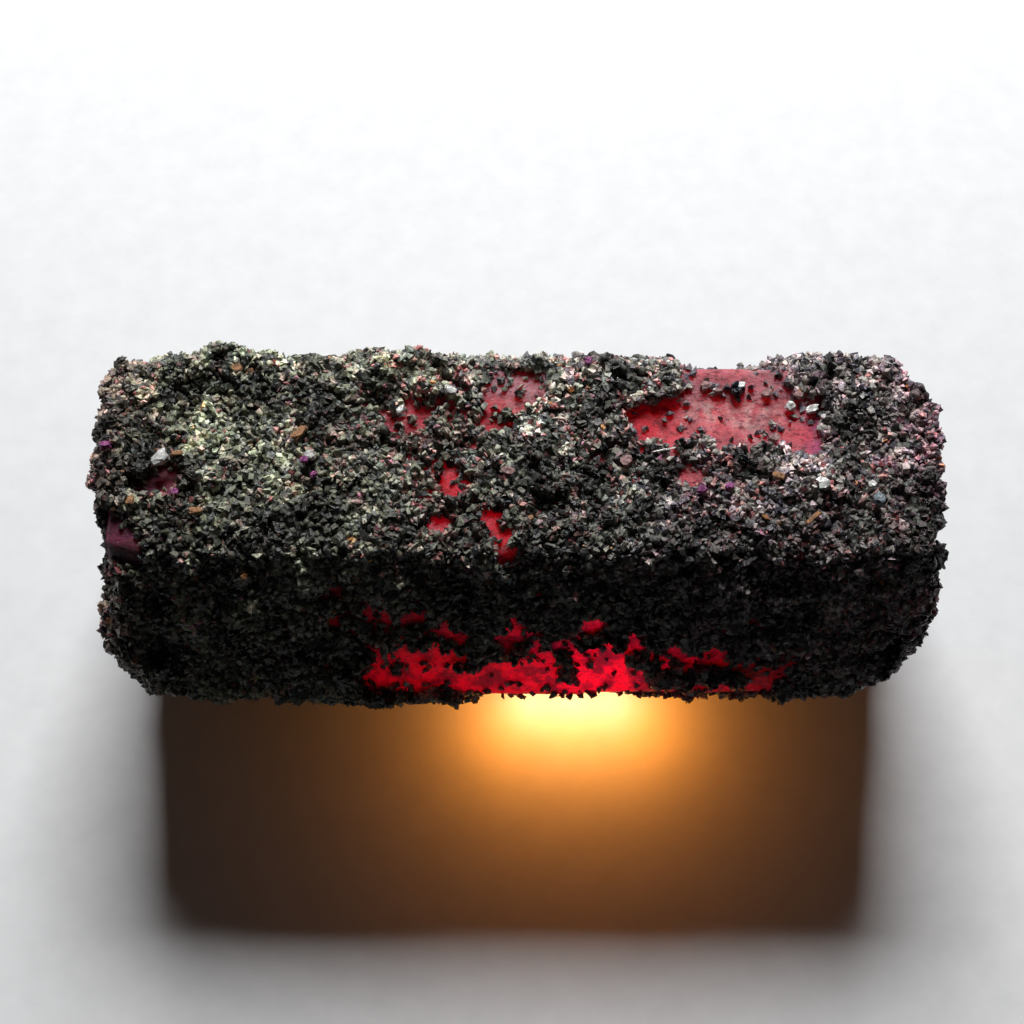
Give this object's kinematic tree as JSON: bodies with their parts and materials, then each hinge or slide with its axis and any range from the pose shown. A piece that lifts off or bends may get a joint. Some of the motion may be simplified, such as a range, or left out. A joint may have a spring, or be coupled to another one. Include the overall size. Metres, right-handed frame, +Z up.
{
  "type": "raw ruby crystal",
  "caption": "Rough six-sided ruby barrel lying on a prism face, in a thin dark crust of mica schist with windows through which the red crystal shows.",
  "frame": {"origin": "middle of the bounding box's underside, on the surface that the crystal rests on", "axes": "+X along the crystal's long axis, +Y to its back, +Z up"},
  "size_m": [0.054, 0.0262, 0.0232],
  "materials": {
    "ruby": "translucent red corundum, satin prism faces with fine striations, dusty where it lies bare",
    "mica_schist": "rough dark schist of biotite and hornblende grains with quartz, rust flakes and small ruby chips"
  },
  "bodies": {
    "root": {"ruby_crystal": "ruby", "mica_crust": "mica_schist"}
  },
  "joints": []
}
